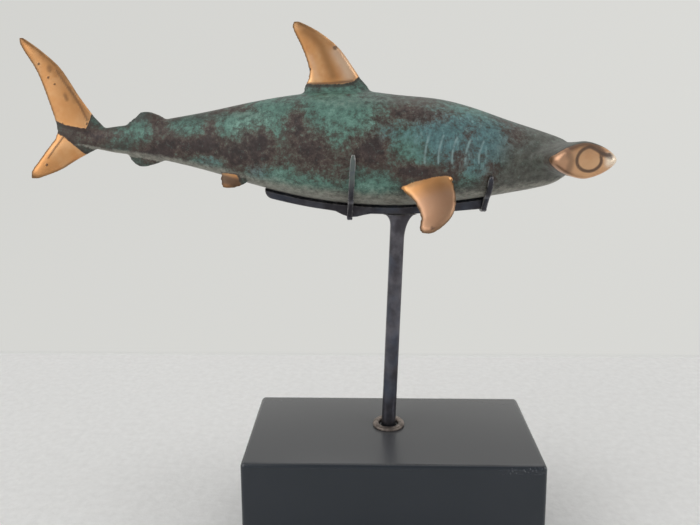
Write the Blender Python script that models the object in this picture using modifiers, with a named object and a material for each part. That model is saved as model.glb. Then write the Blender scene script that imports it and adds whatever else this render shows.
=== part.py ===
"""Hammerhead shark figurine: a bronze casting resting in a steel cradle above a painted block.

Metres, +Z up. The origin is at the centre of the block's underside. The shark lies along X with
its head towards +X. The shark, the cradle bar and the clips are built round the seat, the point of
the belly that lies over the post, so they stay together when a size below changes.
"""

import math

import bmesh
import bpy
from mathutils import Vector
from mathutils.bvhtree import BVHTree

CLEARANCE = 0.0003

# Block
BLOCK_LENGTH = 0.160
BLOCK_DEPTH = 0.080
BLOCK_HEIGHT = 0.055
BLOCK_EDGE_RADIUS = 0.0026
BLOCK_EDGE_SEGMENTS = 4

# Post: a round rod let into the block, leaning a little forward, flared out under the bar
POST_DIAMETER = 0.008
POST_FREE_HEIGHT = 0.1241
POST_SIDES = 28
POST_SOCKET_DEPTH = 0.026
POST_LEAN = math.radians(2.2)
POST_X = -0.0012
POST_Y = 0.0040
FLARE_REAR_REACH = 0.0043
FLARE_REAR_HEIGHT = 0.0065
FLARE_FRONT_REACH = 0.0064
FLARE_FRONT_HEIGHT = 0.0145
FLARE_SECTIONS = 14

# Ring round the foot of the post
WASHER_BORE = 0.0110
WASHER_OUTER = 0.0182
WASHER_HEIGHT = 0.0018
WASHER_RIM_SHARE = 0.3
WASHER_DOME_STEPS = 8
WASHER_SIDES = 40

# Cradle bar: forged flat along the belly, swollen where the rear clip is welded under it
BAR_WIDTH = 0.0062
BAR_DEPTH = 0.0050
BAR_NOSE_DEPTH = 0.0066
BAR_REAR = -0.0728
BAR_FRONT = 0.0476
BAR_CORNER = 0.0012
BAR_CORNER_CUT = 0.3
BAR_SECTIONS = 30
BAR_HEEL_SHARES = (0.0, 0.08, 0.3, 0.6, 1.0)
BAR_END_RADIUS = 0.0032
SWELL_DROP = 0.0028
SWELL_REAR_LENGTH = 0.0095
SWELL_FRONT_LENGTH = 0.0130

# Clips: thin strips bent under the bar and up both flanks
CLIP_WIDTH = 0.0029
CLIP_THICKNESS = 0.0013
CLIP_STAND_OFF = 0.0007
CLIP_TIP_LENGTH = 0.0030
CLIP_TIP_SHARE = 0.55
CLIP_FLAT_SHARE = 0.75
CLIP_SECTIONS = 16
CLIP_BEND_RISE = 0.0022
CLIP_LEAVES_BELLY = math.radians(26)
REAR_CLIP_X = -0.0266
REAR_CLIP_LEAN = math.radians(4.0)
REAR_CLIP_WRAP = math.radians(88)
FRONT_CLIP_X = 0.0464
FRONT_CLIP_LEAN = math.radians(1.0)
FRONT_CLIP_WRAP = math.radians(70)

# Body outline, measured from the seat: place along X, height of the back, height of the belly,
# half width
BODY_STATIONS = (
    (-0.1720, 0.0405, 0.0325, 0.0022),
    (-0.1576, 0.0427, 0.0292, 0.0048),
    (-0.1400, 0.0449, 0.0268, 0.0070),
    (-0.1244, 0.0474, 0.0238, 0.0090),
    (-0.1030, 0.0512, 0.0184, 0.0124),
    (-0.0750, 0.0570, 0.0101, 0.0180),
    (-0.0486, 0.0608, 0.0040, 0.0225),
    (-0.0240, 0.0622, 0.0009, 0.0252),
    (0.0000, 0.0596, 0.0000, 0.0262),
    (0.0220, 0.0573, 0.0014, 0.0256),
    (0.0383, 0.0532, 0.0034, 0.0242),
    (0.0599, 0.0456, 0.0068, 0.0210),
    (0.0815, 0.0384, 0.0114, 0.0170),
    (0.0900, 0.0347, 0.0167, 0.0140),
    (0.0965, 0.0285, 0.0227, 0.0075),
)
BODY_FULLNESS = 2.15
BODY_SECTIONS = 44
BODY_NOSE_CROWDING = 0.6
BODY_SIDES = 32

# Hammer: distance from the middle of the head as a share of the half span, rear edge, leading
# edge and half height. It is a little out of level: the photographed end stands higher
HAMMER_HALF_SPAN = 0.0400
HAMMER_HEIGHT = 0.0256
HAMMER_ROLL = math.radians(4.2)
HAMMER_STATIONS = (
    (0.00, 0.0600, 0.1096, 0.0086),
    (0.30, 0.0622, 0.1097, 0.0086),
    (0.50, 0.0664, 0.1092, 0.0087),
    (0.65, 0.0704, 0.1083, 0.0090),
    (0.80, 0.0729, 0.1065, 0.0093),
    (0.92, 0.0742, 0.1048, 0.0091),
    (0.98, 0.0775, 0.1010, 0.0072),
    (1.00, 0.0830, 0.0965, 0.0036),
)
HAMMER_FULLNESS = 1.55
HAMMER_SECTIONS = 13
HAMMER_SIDES = 30

# Fins: distance along the span, trailing edge, leading edge, thickness
DORSAL_FIN = (
    (0.0500, -0.0530, -0.0110, 0.0090),
    (0.0628, -0.0513, -0.0154, 0.0064),
    (0.0668, -0.0492, -0.0193, 0.0054),
    (0.0712, -0.0480, -0.0222, 0.0049),
    (0.0749, -0.0485, -0.0247, 0.0045),
    (0.0803, -0.0501, -0.0284, 0.0040),
    (0.0860, -0.0524, -0.0332, 0.0035),
    (0.0923, -0.0554, -0.0412, 0.0029),
    (0.0958, -0.0567, -0.0472, 0.0024),
    (0.0984, -0.0558, -0.0530, 0.0015),
)
TAIL_FIN = (
    (0.0146, -0.2034, -0.1990, 0.0014),
    (0.0190, -0.2026, -0.1868, 0.0023),
    (0.0243, -0.1984, -0.1778, 0.0030),
    (0.0285, -0.1952, -0.1700, 0.0038),
    (0.0330, -0.1915, -0.1610, 0.0048),
    (0.0375, -0.1878, -0.1570, 0.0052),
    (0.0415, -0.1868, -0.1590, 0.0050),
    (0.0460, -0.1876, -0.1640, 0.0044),
    (0.0520, -0.1892, -0.1684, 0.0038),
    (0.0600, -0.1915, -0.1738, 0.0033),
    (0.0690, -0.1943, -0.1790, 0.0029),
    (0.0760, -0.1974, -0.1838, 0.0026),
    (0.0845, -0.2024, -0.1932, 0.0022),
    (0.0888, -0.2042, -0.1990, 0.0017),
    (0.0908, -0.2040, -0.2020, 0.0012),
)
SECOND_DORSAL_FIN = (
    (0.0400, -0.1500, -0.1220, 0.0060),
    (0.0450, -0.1478, -0.1245, 0.0046),
    (0.0480, -0.1436, -0.1278, 0.0038),
    (0.0500, -0.1416, -0.1322, 0.0032),
    (0.0510, -0.1398, -0.1358, 0.0020),
)
ANAL_FIN = (
    (0.0212, -0.1425, -0.1385, 0.0020),
    (0.0222, -0.1446, -0.1345, 0.0032),
    (0.0238, -0.1460, -0.1290, 0.0038),
    (0.0265, -0.1482, -0.1245, 0.0046),
    (0.0320, -0.1500, -0.1200, 0.0060),
)
FIN_BLUNTNESS = 0.35
FIN_SIDES = 18
LARGE_FIN_SECTIONS = 20
SMALL_FIN_SECTIONS = 9

# Paired fins: each springs from a root on the flank and slopes down and outwards. Their tables
# give the distance out from the root, and the edges as distances along the chord
PECTORAL_FIN = (
    (-0.0120, -0.0030, 0.0240, 0.0058),
    (0.0000, 0.0000, 0.0268, 0.0046),
    (0.0050, 0.0036, 0.0285, 0.0038),
    (0.0100, 0.0074, 0.0292, 0.0034),
    (0.0158, 0.0098, 0.0294, 0.0031),
    (0.0190, 0.0107, 0.0290, 0.0029),
    (0.0222, 0.0108, 0.0280, 0.0027),
    (0.0251, 0.0099, 0.0261, 0.0025),
    (0.0275, 0.0102, 0.0230, 0.0022),
    (0.0293, 0.0117, 0.0198, 0.0018),
    (0.0301, 0.0140, 0.0172, 0.0011),
)
PECTORAL_ROOT_X = -0.0005
PECTORAL_ROOT_HEIGHT = 0.0129
PECTORAL_SPREAD = math.radians(36)
PECTORAL_INCIDENCE = math.radians(14.7)
PELVIC_FIN = (
    (-0.0070, 0.0000, 0.0180, 0.0042),
    (0.0000, 0.0000, 0.0184, 0.0036),
    (0.0036, 0.0001, 0.0174, 0.0031),
    (0.0066, 0.0004, 0.0148, 0.0026),
    (0.0086, 0.0012, 0.0106, 0.0020),
    (0.0094, 0.0026, 0.0072, 0.0011),
)
PELVIC_ROOT_X = -0.0960
PELVIC_ROOT_HEIGHT = 0.0185
PELVIC_SPREAD = math.radians(36)
PELVIC_INCIDENCE = math.radians(2)

# Eye: a ring cut into each end of the hammer, which opens at the front into the nostril line
EYE_X = 0.0907
EYE_HALF_LENGTH = 0.0056
EYE_HALF_HEIGHT = 0.0050
EYE_GROOVE_WIDTH = 0.0011
EYE_START = math.radians(20)
EYE_SWEEP = math.radians(300)
EYE_OPENING = 0.22
EYE_POINTS = 27
NOSTRIL = ((0.0036, 0.0050), (0.0060, 0.0034), (0.0082, 0.0026), (0.0103, 0.0026))

# Mouth: a bow cut into the underside of the head
MOUTH_FRONT = 0.0790
MOUTH_LENGTH = 0.0180
MOUTH_HALF_WIDTH = 0.0092
MOUTH_GROOVE_WIDTH = 0.0014
MOUTH_POINTS = 13

# Gill slits on each flank: place of the first, spacing, lean of their tops, heights of their ends
GILL_COUNT = 5
GILL_FIRST_X = 0.0124
GILL_SPACING = 0.0069
GILL_TOP_LEAN = 0.0026
GILL_LOW = 0.0256
GILL_LENGTH = 0.0150
GILL_SHORTENING = 0.07
GILL_GROOVE_WIDTH = 0.0009
GILL_POINTS = 5


def clear_scene():
    for obj in list(bpy.data.objects):
        bpy.data.objects.remove(obj, do_unlink=True)


def new_collection(name):
    collection = bpy.data.collections.new(name)
    bpy.context.scene.collection.children.link(collection)
    return collection


def new_material(name, colour, roughness, metallic):
    material = bpy.data.materials.new(name)
    material.use_nodes = True
    shader = material.node_tree.nodes["Principled BSDF"]
    shader.inputs["Base Color"].default_value = (*colour, 1)
    shader.inputs["Roughness"].default_value = roughness
    shader.inputs["Metallic"].default_value = metallic
    material.diffuse_color = (*colour, 1)
    return material


def place(name, mesh, collection, material=None, parent=None):
    obj = bpy.data.objects.new(name, mesh)
    collection.objects.link(obj)
    if material:
        mesh.materials.append(material)
    obj.parent = parent
    return obj


def as_tool(obj):
    """Hides a shape that only joins or cuts another."""
    obj.hide_render = True
    obj.display_type = "WIRE"
    return obj


def smooth_between(table, at):
    """The row at a place along the table's first column, on a smooth curve through its rows."""
    last = len(table) - 2
    i = next((k for k in range(last) if at < table[k + 1][0]), last)
    before, start, end, after = (table[max(0, min(last + 1, k))] for k in (i - 1, i, i + 1, i + 2))
    length = end[0] - start[0]
    t = (at - start[0]) / length
    row = []
    for a, b, c, d, xa, xd in (
        (before[k], start[k], end[k], after[k], before[0], after[0]) for k in range(1, len(start))
    ):
        leave = (c - a) / (end[0] - xa) * length
        arrive = (d - b) / (xd - start[0]) * length
        row.append(
            (2 * t**3 - 3 * t**2 + 1) * b
            + (t**3 - 2 * t**2 + t) * leave
            + (3 * t**2 - 2 * t**3) * c
            + (t**3 - t**2) * arrive
        )
    return row


def loft(name, rings):
    """A closed mesh through rings of equal length, with a flat cap at each end."""
    shape = bmesh.new()
    rows = [[shape.verts.new(point) for point in ring] for ring in rings]
    count = len(rows[0])
    for near, far in zip(rows, rows[1:]):
        for k in range(count):
            following = (k + 1) % count
            shape.faces.new((near[k], near[following], far[following], far[k]))
    shape.faces.new(reversed(rows[0]))
    shape.faces.new(rows[-1])
    bmesh.ops.recalc_face_normals(shape, faces=shape.faces)
    mesh = bpy.data.meshes.new(name)
    shape.to_mesh(mesh)
    shape.free()
    return mesh


def soften(mesh, angle=math.radians(40)):
    mesh.shade_smooth()
    mesh.set_sharp_from_angle(angle=angle)


def turns(count):
    return [2 * math.pi * k / count for k in range(count)]


def rounded(value, fullness):
    """A cosine or sine for a section fuller than an ellipse, or leaner where under 2."""
    return math.copysign(abs(value) ** (2 / fullness), value)


def body_point(x, angle, stand_off=0.0):
    """The flank at a place along the body. The angle starts under the belly and turns to +Y."""
    back, belly, half_width = smooth_between(BODY_STATIONS, x)
    half_height = (back - belly) / 2
    return Vector(
        (
            x,
            (half_width + stand_off) * rounded(math.sin(angle), BODY_FULLNESS),
            (back + belly) / 2
            - (half_height + stand_off) * rounded(math.cos(angle), BODY_FULLNESS),
        )
    )


def belly_height(x):
    return smooth_between(BODY_STATIONS, x)[1]


def body_half_width_at(x, height):
    """How far the flank stands from the middle plane at a height above the seat."""
    back, belly, half_width = smooth_between(BODY_STATIONS, x)
    share = min(1.0, abs(height - (back + belly) / 2) / ((back - belly) / 2))
    return half_width * (1 - share**BODY_FULLNESS) ** (1 / BODY_FULLNESS)


def body_mesh():
    """The trunk, its sections closer together at the nose, where the hammer joins it."""
    rear, front = BODY_STATIONS[0][0], BODY_STATIONS[-1][0]
    rings = []
    for k in range(BODY_SECTIONS):
        even = k / (BODY_SECTIONS - 1)
        crowded = math.sin(math.pi / 2 * even)
        x = rear + (front - rear) * (even + (crowded - even) * BODY_NOSE_CROWDING)
        rings.append([body_point(x, angle) for angle in turns(BODY_SIDES)])
    return loft("body", rings)


def hammer_height(across):
    """Height of the hammer's middle line at a distance towards +Y."""
    return HAMMER_HEIGHT - across * math.tan(HAMMER_ROLL)


def hammer_mesh():
    """The head's crosspiece: lens-shaped sections from one eye to the other, with rounded ends."""
    half = [
        math.sin(math.pi / 2 * k / (HAMMER_SECTIONS - 1)) for k in range(1, HAMMER_SECTIONS)
    ]
    rings = []
    for share in [-s for s in reversed(half)] + [0.0] + half:
        rear, front, half_height = smooth_between(HAMMER_STATIONS, abs(share))
        middle, reach = (rear + front) / 2, (front - rear) / 2
        across = share * HAMMER_HALF_SPAN
        height = hammer_height(across)
        ring = []
        for angle in turns(HAMMER_SIDES):
            forward = rounded(math.cos(angle), HAMMER_FULLNESS)
            up = rounded(math.sin(angle), HAMMER_FULLNESS)
            ring.append((middle + reach * forward, across, height + half_height * up))
        rings.append(ring)
    return loft("hammer", rings)


def foil(trailing, leading, thickness, span_point, chord, normal):
    """One section of a fin: blunt at the leading edge and thin at the trailing edge."""
    middle, reach = (trailing + leading) / 2, (leading - trailing) / 2
    ring = []
    for angle in turns(FIN_SIDES):
        along = middle + reach * math.cos(angle)
        across = thickness / 2 * math.sin(angle) * (1 + FIN_BLUNTNESS * math.cos(angle))
        ring.append(span_point + chord * along + normal * across)
    return ring


def fin_mesh(name, table, sections, root, span, chord, normal, inward=None):
    """A fin lofted along its span. Sections before the root run inward, where that is given."""
    start, end = table[0][0], table[-1][0]
    rings = []
    for k in range(sections):
        out = start + (end - start) * (1 - math.cos(math.pi * k / (sections - 1))) / 2
        trailing, leading, thickness = smooth_between(table, out)
        way = -inward if inward and out < 0 else span
        rings.append(foil(trailing, leading, thickness, root + way * out, chord, normal))
    return loft(name, rings)


def upright_fin_mesh(name, table, sections):
    """A fin in the middle plane: the table's first column is the height above the seat."""
    ahead, across, up = Vector((1, 0, 0)), Vector((0, 1, 0)), Vector((0, 0, 1))
    return fin_mesh(name, table, sections, Vector(), up, ahead, across)


def paired_fin_mesh(name, table, sections, root_x, root_height, spread, incidence, side):
    """A fin on one flank: it leaves the root downwards, turned outwards by the spread."""
    root = Vector((root_x, side * body_half_width_at(root_x, root_height), root_height))
    chord = Vector((math.cos(incidence), 0, math.sin(incidence)))
    span = Vector((0, side * math.sin(spread), -math.cos(spread)))
    normal = chord.cross(span).normalized()
    return fin_mesh(name, table, sections, root, span, chord, normal, Vector((0, -side, 0)))


def eye_path():
    """The eye ring and the nostril line, drawn flat: distances forward and up from the eye."""
    points = []
    for k in range(EYE_POINTS):
        share = k / (EYE_POINTS - 1)
        angle = EYE_START - EYE_SWEEP * share
        growth = 1 + EYE_OPENING * max(0.0, share - 0.5) * 2
        points.append(
            (
                EYE_HALF_LENGTH * math.cos(angle),
                EYE_HALF_HEIGHT * growth * math.sin(angle),
            )
        )
    return points + list(NOSTRIL)


def groove_cutter(name, points, width, collection):
    """A tube along the points, as a mesh that can cut."""
    curve = bpy.data.curves.new(name, "CURVE")
    curve.dimensions = "3D"
    curve.bevel_depth = width / 2
    curve.bevel_resolution = 1
    curve.use_fill_caps = True
    spline = curve.splines.new("POLY")
    spline.points.add(len(points) - 1)
    for spot, point in zip(spline.points, points):
        spot.co = (*point, 1)
    drawn = bpy.data.objects.new(name + "_line", curve)
    bpy.context.scene.collection.objects.link(drawn)
    graph = bpy.context.evaluated_depsgraph_get()
    mesh = bpy.data.meshes.new_from_object(drawn.evaluated_get(graph))
    bpy.data.objects.remove(drawn, do_unlink=True)
    shape = bmesh.new()
    shape.from_mesh(mesh)
    bmesh.ops.remove_doubles(shape, verts=shape.verts, dist=width / 100)
    bmesh.ops.recalc_face_normals(shape, faces=shape.faces)
    shape.to_mesh(mesh)
    shape.free()
    return as_tool(place(name, mesh, collection))


def surface_of(mesh):
    return BVHTree.FromPolygons(
        [v.co for v in mesh.vertices], [tuple(p.vertices) for p in mesh.polygons]
    )


def engrave(name, surface, starts, direction, width, collection, parent):
    """Drops each start along the direction onto the surface and cuts a groove along the line."""
    points = [surface.ray_cast(Vector(start), Vector(direction))[0] for start in starts]
    groove_cutter(name, points, width, collection).parent = parent


def cut_eyes(hammer, collection, parent):
    surface = surface_of(hammer)
    for side, word in ((-1, "near"), (1, "far")):
        outside = side * 2 * HAMMER_HALF_SPAN
        height = hammer_height(side * HAMMER_HALF_SPAN)
        starts = [(EYE_X + forward, outside, height + up) for forward, up in eye_path()]
        toward = (0, -side, 0)
        engrave(f"eye_{word}", surface, starts, toward, EYE_GROOVE_WIDTH, collection, parent)


def cut_mouth(surface, collection, parent):
    """The corners of the mouth lie behind its middle, on a bow."""
    starts = []
    for k in range(MOUTH_POINTS):
        share = 2 * k / (MOUTH_POINTS - 1) - 1
        x = MOUTH_FRONT - MOUTH_LENGTH * share**2
        starts.append((x, MOUTH_HALF_WIDTH * share, -BODY_STATIONS[0][1]))
    engrave("mouth", surface, starts, (0, 0, 1), MOUTH_GROOVE_WIDTH, collection, parent)


def cut_gills(surface, collection, parent):
    """A row of slits, each leaning forward at the top and shorter towards the head."""
    for side, word in ((-1, "near"), (1, "far")):
        for k in range(GILL_COUNT):
            x = GILL_FIRST_X + GILL_SPACING * k
            length = GILL_LENGTH * (1 - GILL_SHORTENING * k)
            starts = []
            for step in range(GILL_POINTS):
                share = step / (GILL_POINTS - 1)
                bow = 4 * share * (1 - share)
                starts.append(
                    (
                        x + GILL_TOP_LEAN * share - bow * GILL_GROOVE_WIDTH,
                        side * 2 * HAMMER_HALF_SPAN,
                        GILL_LOW + length * share,
                    )
                )
            name, toward = f"gill_{word}_{k + 1}", (0, -side, 0)
            engrave(name, surface, starts, toward, GILL_GROOVE_WIDTH, collection, parent)


def make_shark(parts, fins, grooves, seat, material):
    """The casting: the body with the hammer and every fin joined to it, and the lines cut in."""
    body = body_mesh()
    soften(body)
    shark = place("shark", body, parts, material, seat)
    hammer = hammer_mesh()
    cut_eyes(hammer, grooves, seat)
    cut_mouth(surface_of(body), grooves, seat)
    cut_gills(surface_of(body), grooves, seat)
    shapes = [
        hammer,
        upright_fin_mesh("dorsal_fin", DORSAL_FIN, LARGE_FIN_SECTIONS),
        upright_fin_mesh("tail_fin", TAIL_FIN, LARGE_FIN_SECTIONS + SMALL_FIN_SECTIONS),
        upright_fin_mesh("second_dorsal_fin", SECOND_DORSAL_FIN, SMALL_FIN_SECTIONS),
        upright_fin_mesh("anal_fin", ANAL_FIN, SMALL_FIN_SECTIONS),
    ]
    for side, word in ((-1, "near"), (1, "far")):
        shapes.append(
            paired_fin_mesh(
                f"pectoral_fin_{word}",
                PECTORAL_FIN,
                LARGE_FIN_SECTIONS,
                PECTORAL_ROOT_X,
                PECTORAL_ROOT_HEIGHT,
                PECTORAL_SPREAD,
                PECTORAL_INCIDENCE,
                side,
            )
        )
        shapes.append(
            paired_fin_mesh(
                f"pelvic_fin_{word}",
                PELVIC_FIN,
                SMALL_FIN_SECTIONS,
                PELVIC_ROOT_X,
                PELVIC_ROOT_HEIGHT,
                PELVIC_SPREAD,
                PELVIC_INCIDENCE,
                side,
            )
        )
    for shape in shapes:
        soften(shape)
        as_tool(place(shape.name, shape, fins, parent=seat))
    for name, operation, tools in (
        ("cast_with_fins", "UNION", fins),
        ("engrave", "DIFFERENCE", grooves),
    ):
        modifier = shark.modifiers.new(name, "BOOLEAN")
        modifier.operation = operation
        modifier.solver = "EXACT"
        modifier.operand_type = "COLLECTION"
        modifier.collection = tools
    shark.modifiers.new("even_shading", "WEIGHTED_NORMAL").keep_sharp = True
    return shark


def bar_depth(x):
    """Depth of the cradle bar: even, deeper at the nose, swollen round the rear clip."""
    nose = max(0.0, x / BAR_FRONT)
    depth = BAR_DEPTH + (BAR_NOSE_DEPTH - BAR_DEPTH) * nose**2
    offset = x - REAR_CLIP_X
    reach = SWELL_FRONT_LENGTH if offset > 0 else SWELL_REAR_LENGTH
    if abs(offset) < reach:
        depth += SWELL_DROP * (1 + math.cos(math.pi * offset / reach)) / 2
    heel = x - BAR_REAR
    if heel < BAR_END_RADIUS:
        depth -= BAR_END_RADIUS - math.sqrt(BAR_END_RADIUS**2 - (BAR_END_RADIUS - heel) ** 2)
    return depth


def bar_underside(x):
    return belly_height(x) - CLEARANCE - bar_depth(x)


def bar_places():
    """Places along the bar, closer together round its heel and under the rear clip."""
    heel = [BAR_REAR + BAR_END_RADIUS * share for share in BAR_HEEL_SHARES]
    step = (BAR_FRONT - heel[-1]) / BAR_SECTIONS
    return heel + [heel[-1] + step * k for k in range(1, BAR_SECTIONS + 1)]


def make_bar(parts, seat, material):
    """A flat bar forged to the belly's curve, with eased edges."""
    rings = []
    half = BAR_WIDTH / 2
    for x in bar_places():
        top = belly_height(x) - CLEARANCE
        bottom = bar_underside(x)
        ease = min(BAR_CORNER, (top - bottom) / 3)
        side = half - ease
        cut = ease * BAR_CORNER_CUT
        rings.append(
            [
                (x, -side, top),
                (x, side, top),
                (x, half, top - ease),
                (x, half, bottom + ease),
                (x, half - cut, bottom + cut),
                (x, side, bottom),
                (x, -side, bottom),
                (x, -half + cut, bottom + cut),
                (x, -half, bottom + ease),
                (x, -half, top - ease),
            ]
        )
    mesh = loft("cradle_bar", rings)
    soften(mesh)
    return place("cradle_bar", mesh, parts, material, seat)


def clip_line(x, lean, wrap):
    """The middle line of half a clip, from under the bar to its end on the +Y flank."""
    low = bar_underside(x) - CLEARANCE - CLIP_THICKNESS / 2
    stand_off = CLIP_STAND_OFF + CLIP_THICKNESS / 2
    flat = BAR_WIDTH / 2 - BAR_CORNER
    bend = CLEARANCE + CLIP_THICKNESS + BAR_CORNER
    points = [Vector((x, 0.0, low))]
    for turn in (0, math.radians(45), math.radians(90)):
        rise = CLIP_BEND_RISE * (1 - math.cos(turn))
        points.append(Vector((x, flat + bend * math.sin(turn), low + rise)))
    for k in range(CLIP_SECTIONS + 1):
        angle = CLIP_LEAVES_BELLY + (wrap - CLIP_LEAVES_BELLY) * k / CLIP_SECTIONS
        height = body_point(x, angle).z
        leaned = x + (height - low) * math.tan(lean)
        points.append(body_point(leaned, angle, stand_off))
    return points


def clip_ring(point, along, width):
    """The strip's section at a point: wide along X, thin across the direction it runs in."""
    across = Vector((0, along.z, -along.y)).normalized() * CLIP_THICKNESS / 2
    wide = Vector((width / 2, 0, 0))
    ease = CLIP_FLAT_SHARE
    return [
        point + wide + across * ease,
        point + wide * ease + across,
        point - wide * ease + across,
        point - wide + across * ease,
        point - wide - across * ease,
        point - wide * ease - across,
        point + wide * ease - across,
        point + wide - across * ease,
    ]


def make_clip(name, x, lean, wrap, parts, seat, material):
    """A strip bent in a U: one half's line, and its mirror image before it."""
    half = clip_line(x, lean, wrap)
    line = [Vector((p.x, -p.y, p.z)) for p in reversed(half[1:])] + half
    rings = []
    for k, point in enumerate(line):
        along = line[min(k + 1, len(line) - 1)] - line[max(k - 1, 0)]
        from_end = min((point - line[0]).length, (point - line[-1]).length)
        taper = min(1.0, CLIP_TIP_SHARE + (1 - CLIP_TIP_SHARE) * from_end / CLIP_TIP_LENGTH)
        rings.append(clip_ring(point, along, CLIP_WIDTH * taper))
    mesh = loft(name, rings)
    soften(mesh)
    return place(name, mesh, parts, material, seat)


def fillet(share):
    """0 at the start of a flare and 1 at its mouth, on a quarter circle."""
    share = max(0.0, min(1.0, share))
    return 1 - math.sqrt(1 - share**2)


def post_ring(height):
    """The post's section at a height above the block's top, round below and long under the bar."""
    radius = POST_DIAMETER / 2
    below = POST_FREE_HEIGHT - height
    rear_flare = fillet(1 - below / FLARE_REAR_HEIGHT)
    front_flare = fillet(1 - below / FLARE_FRONT_HEIGHT)
    rear = radius + FLARE_REAR_REACH * rear_flare
    front = radius + FLARE_FRONT_REACH * front_flare
    side = radius + (BAR_WIDTH / 2 - radius) * front_flare
    ring = []
    for angle in turns(POST_SIDES):
        reach = front if math.cos(angle) > 0 else rear
        ring.append(Vector((reach * math.cos(angle), side * math.sin(angle), 0)))
    middle = Vector((height * math.tan(POST_LEAN), 0, height))
    return [middle + spot for spot in ring]


def make_post(parts, foot, material):
    """A rod from the bottom of its socket to its flared head, which the bar rests on."""
    flare = max(FLARE_REAR_HEIGHT, FLARE_FRONT_HEIGHT)
    start = POST_FREE_HEIGHT - flare
    heights = [CLEARANCE - POST_SOCKET_DEPTH, 0.0, start / 2]
    for k in range(FLARE_SECTIONS + 1):
        heights.append(start + flare * math.sin(math.pi / 2 * k / FLARE_SECTIONS))
    mesh = loft("post", [post_ring(height) for height in heights])
    soften(mesh)
    return place("post", mesh, parts, material, foot)


def make_block(parts, cutters, foot, material):
    """The block, with eased edges and a blind hole that the post is glued into."""
    mesh = bpy.data.meshes.new("base_block")
    shape = bmesh.new()
    bmesh.ops.create_cube(shape, size=1)
    bmesh.ops.scale(shape, vec=(BLOCK_LENGTH, BLOCK_DEPTH, BLOCK_HEIGHT), verts=shape.verts)
    shape.to_mesh(mesh)
    shape.free()
    block = place("base_block", mesh, parts, material)
    block.location.z = BLOCK_HEIGHT / 2
    bevel = block.modifiers.new("eased_edges", "BEVEL")
    bevel.width = BLOCK_EDGE_RADIUS
    bevel.segments = BLOCK_EDGE_SEGMENTS
    radius = POST_DIAMETER / 2 + CLEARANCE
    above = BLOCK_EDGE_RADIUS
    rings = []
    for height in (-POST_SOCKET_DEPTH, above):
        lean = height * math.tan(POST_LEAN)
        rings.append(
            [
                (lean + radius * math.cos(angle), radius * math.sin(angle), height)
                for angle in turns(POST_SIDES)
            ]
        )
    socket = as_tool(place("post_socket", loft("post_socket", rings), cutters, parent=foot))
    cut = block.modifiers.new("post_socket", "BOOLEAN")
    cut.operation = "DIFFERENCE"
    cut.solver = "EXACT"
    cut.object = socket
    return block


def make_washer(parts, foot, material):
    """A domed ring that lies on the block round the post."""
    inner, outer = WASHER_BORE / 2, WASHER_OUTER / 2
    middle, half = (inner + outer) / 2, (outer - inner) / 2
    shape = bmesh.new()
    profile = [(outer, CLEARANCE)]
    for k in range(WASHER_DOME_STEPS + 1):
        angle = math.pi * k / WASHER_DOME_STEPS
        dome = WASHER_RIM_SHARE + (1 - WASHER_RIM_SHARE) * math.sin(angle)
        profile.append((middle + half * math.cos(angle), CLEARANCE + WASHER_HEIGHT * dome))
    profile.append((inner, CLEARANCE))
    spots = [shape.verts.new((x, 0, z)) for x, z in profile]
    for start, end in zip(spots, spots[1:] + spots[:1]):
        shape.edges.new((start, end))
    mesh = bpy.data.meshes.new("foot_washer")
    shape.to_mesh(mesh)
    shape.free()
    washer = place("foot_washer", mesh, parts, material, foot)
    turned = washer.modifiers.new("turned", "SCREW")
    turned.steps = turned.render_steps = WASHER_SIDES
    turned.use_merge_vertices = True
    turned.merge_threshold = 0.00001
    turned.use_smooth_shade = True
    turned.use_normal_flip = True
    return washer


def make_empty(name, collection, location):
    empty = bpy.data.objects.new(name, None)
    empty.empty_display_size = 0.01
    empty.location = location
    collection.objects.link(empty)
    return empty


def main():
    clear_scene()
    parts = new_collection("shark_figurine")
    fins = new_collection("casting_shapes")
    grooves = new_collection("engraving")
    cutters = new_collection("cutters")
    bronze = new_material("patinated_bronze", (0.16, 0.24, 0.20), 0.45, 0.8)
    steel = new_material("blackened_steel", (0.035, 0.035, 0.04), 0.4, 0.6)
    brass = new_material("dull_brass", (0.25, 0.19, 0.13), 0.5, 0.9)
    paint = new_material("black_painted_wood", (0.045, 0.05, 0.055), 0.5, 0.0)

    foot = make_empty("post_foot", parts, (POST_X, POST_Y, BLOCK_HEIGHT))
    make_block(parts, cutters, foot, paint)
    make_post(parts, foot, steel)
    make_washer(parts, foot, brass)

    lean = POST_FREE_HEIGHT * math.tan(POST_LEAN)
    rise = POST_FREE_HEIGHT + CLEARANCE + BAR_DEPTH + CLEARANCE
    seat = make_empty("cradle_seat", parts, (POST_X + lean, POST_Y, BLOCK_HEIGHT + rise))
    make_bar(parts, seat, steel)
    make_clip("rear_clip", REAR_CLIP_X, REAR_CLIP_LEAN, REAR_CLIP_WRAP, parts, seat, steel)
    make_clip("front_clip", FRONT_CLIP_X, FRONT_CLIP_LEAN, FRONT_CLIP_WRAP, parts, seat, steel)
    make_shark(parts, fins, grooves, seat, bronze)


main()
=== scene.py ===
# %% [markdown]
# # A cast shark on a steel cradle
#
# The object is a hammerhead shark cast in bronze, patinated brown and green, with its fins and the
# ends of its hammer polished back to bare metal. A slim blackened rod with a cradle holds it over
# a painted block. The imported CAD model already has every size, so this lesson only adds what CAD
# leaves out: soft fillets, patina, polish, wear, a camera and a plain room.

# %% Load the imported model
import math

import bmesh
import bpy
import numpy as np
from mathutils import Matrix, Vector, kdtree
from mathutils.bvhtree import BVHTree


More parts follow.
